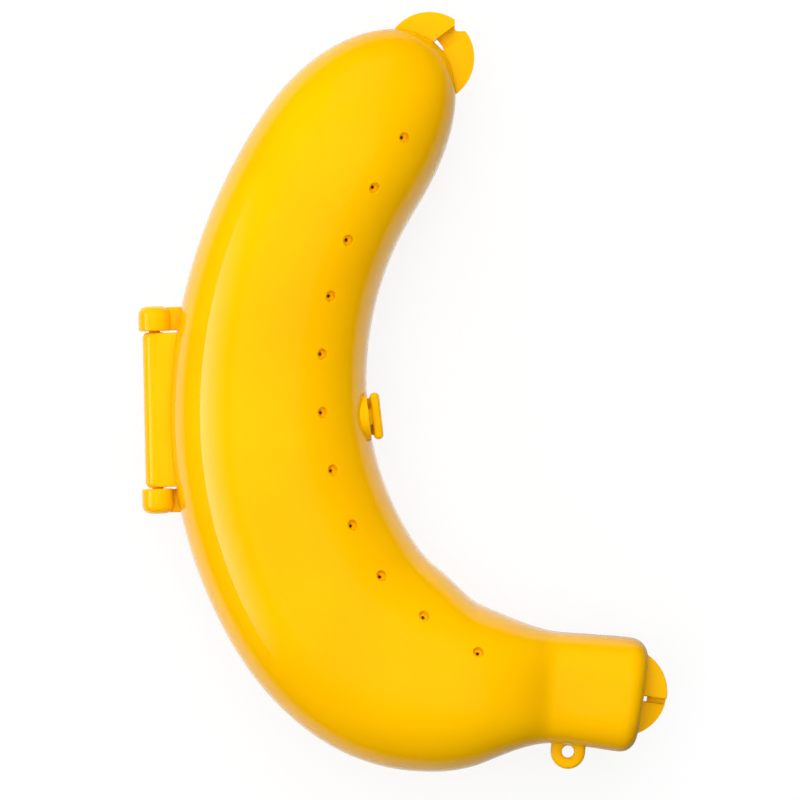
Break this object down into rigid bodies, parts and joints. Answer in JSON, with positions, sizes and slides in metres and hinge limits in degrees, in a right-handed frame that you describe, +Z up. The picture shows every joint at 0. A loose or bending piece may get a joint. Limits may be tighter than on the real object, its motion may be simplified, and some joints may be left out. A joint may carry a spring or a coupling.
{
  "type": "banana carrying case",
  "caption": "Hard plastic banana-shaped carrying case: two hinged half shells with vent holes, a snap clasp, pull tabs at both ends and a lanyard eye.",
  "frame": {"origin": "on the ground below the middle of the case's box, with the case lying on its rear shell", "axes": "+Y along the length towards the tip, +X from the hinge towards the clasp and the stem, +Z up through the front shell, square to the parting plane"},
  "size_m": [0.1508, 0.2202, 0.048],
  "materials": {
    "yellow_plastic": "glossy moulded plastic"
  },
  "bodies": {
    "rear_half": {"rear_shell": "yellow_plastic", "upper_hinge_knuckle": "yellow_plastic", "lower_hinge_knuckle": "yellow_plastic", "rear_tip_petal": "yellow_plastic", "rear_stem_petal": "yellow_plastic", "clasp_catch": "yellow_plastic"},
    "front_half": {"front_shell": "yellow_plastic", "hinge_barrel": "yellow_plastic", "front_tip_petal": "yellow_plastic", "front_stem_petal": "yellow_plastic", "lanyard_eye": "yellow_plastic", "clasp_web": "yellow_plastic"},
    "clasp": {"clasp_plate": "yellow_plastic"}
  },
  "joints": [
    {"name": "lid_hinge", "type": "hinge", "parent": "rear_half", "child": "front_half", "pos_m": [-0.07085, -0.00338, 0.024], "axis": [0, -1, 0], "range_deg": [0, 180]},
    {"name": "clasp_flex", "type": "hinge", "parent": "front_half", "child": "clasp", "pos_m": [-0.00788, -0.00654, 0.0284], "axis": [0.0931, -0.9957, 0], "range_deg": [0, 8], "stiffness_Nm_per_rad": 0.2}
  ]
}
